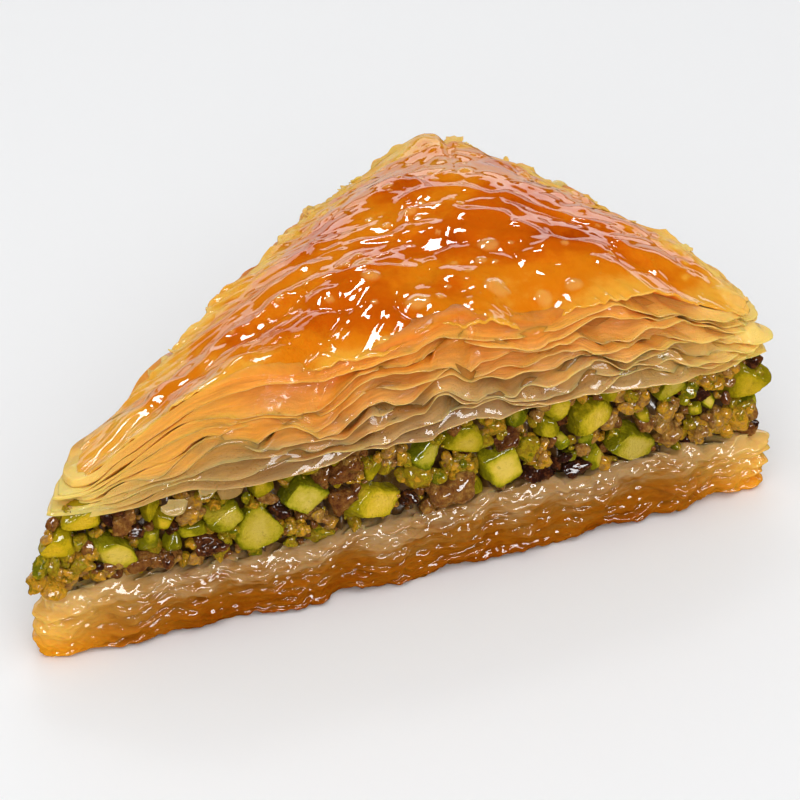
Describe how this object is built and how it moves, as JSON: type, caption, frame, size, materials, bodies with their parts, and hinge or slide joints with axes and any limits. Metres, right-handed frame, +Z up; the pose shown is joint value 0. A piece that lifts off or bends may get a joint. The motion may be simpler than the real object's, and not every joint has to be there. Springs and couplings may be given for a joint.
{
  "type": "baklava piece",
  "caption": "Triangular piece of layered nut pastry: a soaked leaf base, a band of chopped green nuts and a puffed, glazed top.",
  "frame": {"origin": "centre of the flat underside, the point as far from all three sides", "axes": "+X along the front cut face from its sharp left tip to its right end, +Y back towards the rear corner, +Z up"},
  "size_m": [0.1036, 0.0728, 0.0375],
  "materials": {
    "soaked_pastry": "syrup-soaked pastry leaves, amber and wet",
    "chopped_nuts": "chopped green nuts in syrup",
    "glazed_pastry": "baked golden orange pastry under a syrup glaze"
  },
  "bodies": {
    "root": {"pastry_base": "soaked_pastry", "nut_filling": "chopped_nuts", "pastry_top": "glazed_pastry"}
  },
  "joints": []
}
